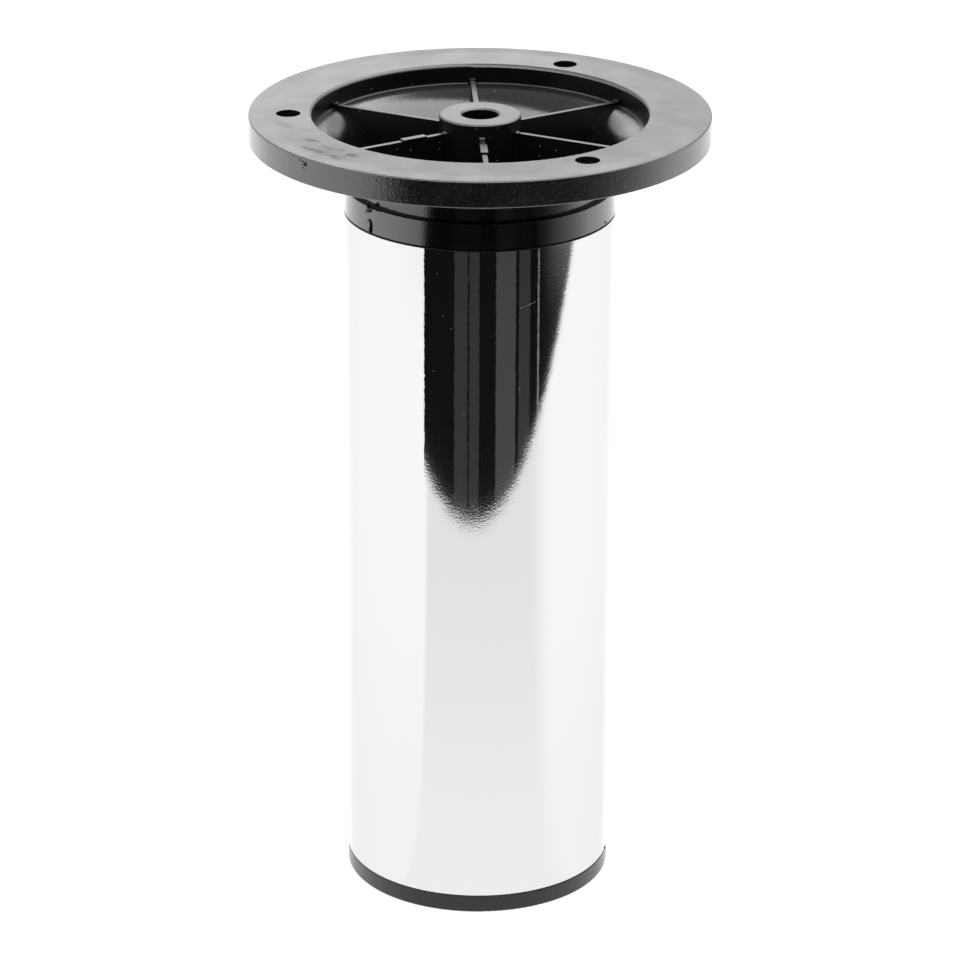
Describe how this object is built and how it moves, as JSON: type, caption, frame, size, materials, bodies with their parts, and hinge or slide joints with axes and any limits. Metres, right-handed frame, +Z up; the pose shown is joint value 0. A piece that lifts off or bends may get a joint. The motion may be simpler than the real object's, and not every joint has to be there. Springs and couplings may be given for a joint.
{
  "type": "furniture leg",
  "caption": "Round chrome tube furniture leg with a ribbed black plastic mounting flange on top and a black plastic foot cap.",
  "frame": {"origin": "centre of the foot's underside, on the tube's axis", "axes": "+Z up along the tube towards the mounting flange; -X points at one of the three screw holes; a web of the flange lies on +Y and another on -Y"},
  "size_m": [0.0846, 0.0846, 0.1506],
  "materials": {
    "chrome": "polished chrome plate with fine ring-wise polishing lines",
    "flange_plastic": "satin black moulding, sand-textured rim",
    "foot_plastic": "black moulding, fine sand texture"
  },
  "bodies": {
    "root": {"tube": "chrome", "mounting_flange": "flange_plastic", "foot_cap": "foot_plastic"}
  },
  "joints": []
}
